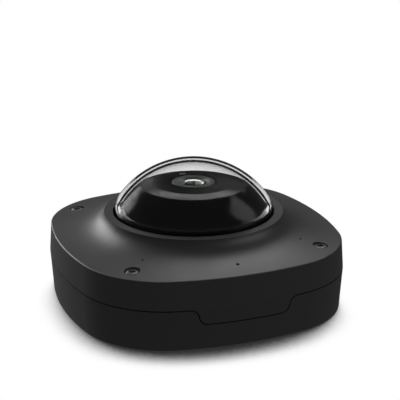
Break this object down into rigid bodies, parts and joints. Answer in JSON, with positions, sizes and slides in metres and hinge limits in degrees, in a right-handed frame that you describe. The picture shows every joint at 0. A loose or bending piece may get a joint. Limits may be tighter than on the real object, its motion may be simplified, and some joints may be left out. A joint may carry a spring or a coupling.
{
  "type": "panoramic security camera",
  "caption": "Low square ceiling camera with bowed sides: a concave cover rises to a clear dome over an upward fisheye lens, with microphones, a network board and a wiring bay inside.",
  "frame": {"origin": "centre of the base housing's underside, on the mounting plane", "axes": "+Z out of the mounting plane through the dome, -Y towards the side with the status light and tab, +X to the right of it seen from the front"},
  "size_m": [0.15, 0.15, 0.0745],
  "materials": {
    "housing_paint": "matte anthracite paint with a fine texture",
    "clear_dome": "clear, polished",
    "gloss_black": "black, polished",
    "lens_metal": "dark anodised",
    "lens_glass": "coated",
    "clear_glass": "polished",
    "black_plastic": "moulded",
    "white_plastic": "moulded",
    "clear_plastic": "clear",
    "green_plastic": "moulded",
    "rubber_seal": "soft",
    "grey_rubber": "soft",
    "screw_steel": "bright",
    "black_steel": "blackened",
    "bare_aluminium": "extruded",
    "tinned_steel": "tinned",
    "circuit_board": "solder resist",
    "chip_black": "moulded",
    "capacitor_sleeve": "shrink sleeve",
    "flat_cable": "polyimide film",
    "button_red": "moulded"
  },
  "bodies": {
    "base": {"base_housing": "housing_paint", "cover_seal": "rubber_seal", "cable_grommet": "grey_rubber", "main_board": "circuit_board", "board_screws": "screw_steel", "processor": "chip_black", "thermal_pad": "grey_rubber", "heat_sink": "bare_aluminium", "ethernet_jack": "tinned_steel", "power_transformer": "chip_black", "capacitors": "capacitor_sleeve", "memory_chips": "chip_black", "terminal_block": "green_plastic", "card_slot": "tinned_steel", "reset_switch": "black_plastic", "module_bracket": "black_plastic", "bracket_screws": "screw_steel", "mic_board": "circuit_board", "microphones": "tinned_steel", "mic_boots": "rubber_seal", "status_led": "clear_plastic", "sensor_board": "circuit_board", "sensor_screws": "screw_steel", "image_sensor": "chip_black", "lens_holder": "black_plastic", "filter_glass": "clear_glass", "lens_barrel": "lens_metal", "lens_rear_glass": "clear_glass", "lens_lock_ring": "lens_metal", "lens_ring": "lens_metal", "lens_front_glass": "lens_glass", "liner_skirt": "gloss_black", "liner_screws": "screw_steel", "liner_cap": "gloss_black", "cable_sockets": "white_plastic", "sensor_cable": "flat_cable", "mic_cable": "flat_cable"},
    "cover": {"top_cover": "housing_paint", "dome": "clear_dome", "dome_gasket": "rubber_seal", "dome_clamp_ring": "black_plastic", "clamp_screws": "screw_steel", "cover_screws": "black_steel", "screw_retainers": "black_plastic", "light_pipe": "clear_plastic"},
    "button": {"reset_button": "button_red"}
  },
  "joints": [
    {"name": "cover_lift", "type": "slide", "parent": "base", "child": "cover", "axis": [0, 0, 1], "range_m": [0, 0.06]},
    {"name": "reset_press", "type": "slide", "parent": "base", "child": "button", "axis": [0, 0, -1], "range_m": [0, 0.0005], "stiffness_N_per_m": 2000}
  ]
}
